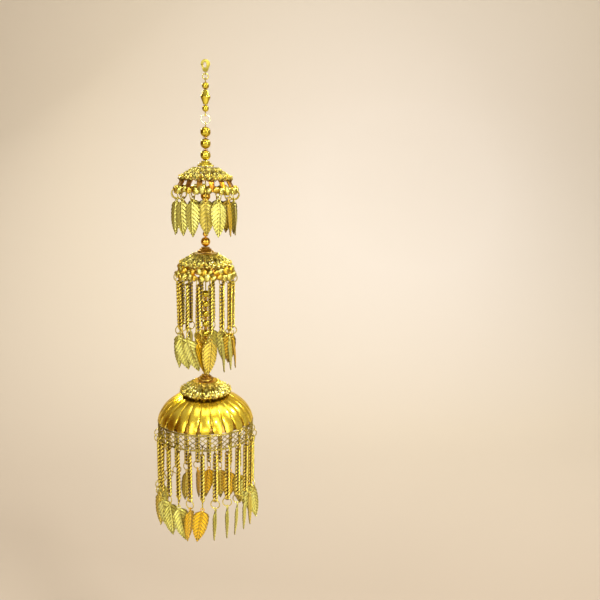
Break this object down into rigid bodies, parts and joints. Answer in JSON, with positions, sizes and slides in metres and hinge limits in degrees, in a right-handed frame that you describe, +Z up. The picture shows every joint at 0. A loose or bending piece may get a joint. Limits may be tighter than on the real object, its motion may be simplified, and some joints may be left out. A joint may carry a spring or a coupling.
{
  "type": "kalire bridal ornament",
  "caption": "Gold-coloured kalire: a clasp and beads, two small pierced umbrellas with leaf charms and chains, and a fluted dome with a net band, fringe chains and leaf charms.",
  "frame": {"origin": "inside of the clasp hook's top, where a bangle's ring bears and the ornament hangs", "axes": "+Z up along the hanging ornament, -Y towards the viewer of the picture, +X to the viewer's right"},
  "size_m": [0.0534, 0.054, 0.2299],
  "materials": {
    "wire_gold": "bright gold-coloured plating",
    "bead_gold": "polished gold-coloured plating",
    "pale_gold": "pale stamped gold-coloured plating",
    "chain_gold": "bright gold-coloured plating"
  },
  "bodies": {
    "hook_link": {"clasp_body": "wire_gold", "clasp_ring": "wire_gold", "top_eye_pin": "wire_gold", "top_bead": "bead_gold", "top_bicone_bead": "bead_gold", "top_lower_bead": "bead_gold", "link_ring": "pale_gold"},
    "clasp_gate": {"clasp_lever": "wire_gold"},
    "upper_drop": {"upper_eye_pin": "wire_gold", "neck_bead_1": "bead_gold", "neck_bead_2": "bead_gold", "neck_bead_3": "bead_gold", "neck_spacers": "wire_gold", "upper_finial": "wire_gold", "upper_cap": "wire_gold", "upper_skirt": "wire_gold", "upper_inner_bead": "bead_gold", "upper_inner_small_bead": "bead_gold", "upper_rings": "wire_gold", "upper_leaves": "pale_gold"},
    "middle_drop": {"middle_eye_pin": "wire_gold", "middle_small_bead": "bead_gold", "middle_bead": "bead_gold", "middle_finial": "wire_gold", "middle_cap": "wire_gold", "middle_skirt": "wire_gold", "middle_top_rings": "wire_gold", "middle_chains": "chain_gold", "middle_low_rings": "wire_gold", "middle_leaves": "pale_gold", "core_bead_1": "bead_gold", "core_bead_2": "bead_gold", "core_bead_3": "bead_gold", "core_bead_4": "bead_gold", "core_bead_5": "bead_gold", "core_sleeves": "wire_gold"},
    "dome_drop": {"dome_eye_pin": "wire_gold", "dome_finial": "wire_gold", "dome_cap": "wire_gold", "dome": "bead_gold", "dome_lattice": "wire_gold", "dome_stop_bead": "bead_gold", "dome_top_rings": "wire_gold", "dome_chains": "chain_gold", "dome_low_rings": "wire_gold", "dome_leaves": "pale_gold"}
  },
  "joints": [
    {"name": "gate_hinge", "type": "hinge", "parent": "hook_link", "child": "clasp_gate", "pos_m": [-0.00075, 0, -0.00325], "axis": [0, 1, 0], "range_deg": [0, 20], "stiffness_Nm_per_rad": 0.002},
    {"name": "upper_swing", "type": "hinge", "parent": "hook_link", "child": "upper_drop", "pos_m": [0, 0, -0.02775], "axis": [1, 0, 0], "range_deg": [-15, 15]},
    {"name": "middle_swing", "type": "hinge", "parent": "upper_drop", "child": "middle_drop", "pos_m": [0, 0, -0.068], "axis": [1, 0, 0], "range_deg": [-15, 15]},
    {"name": "dome_swing", "type": "hinge", "parent": "middle_drop", "child": "dome_drop", "pos_m": [0, 0, -0.134], "axis": [1, 0, 0], "range_deg": [-12, 12]}
  ]
}
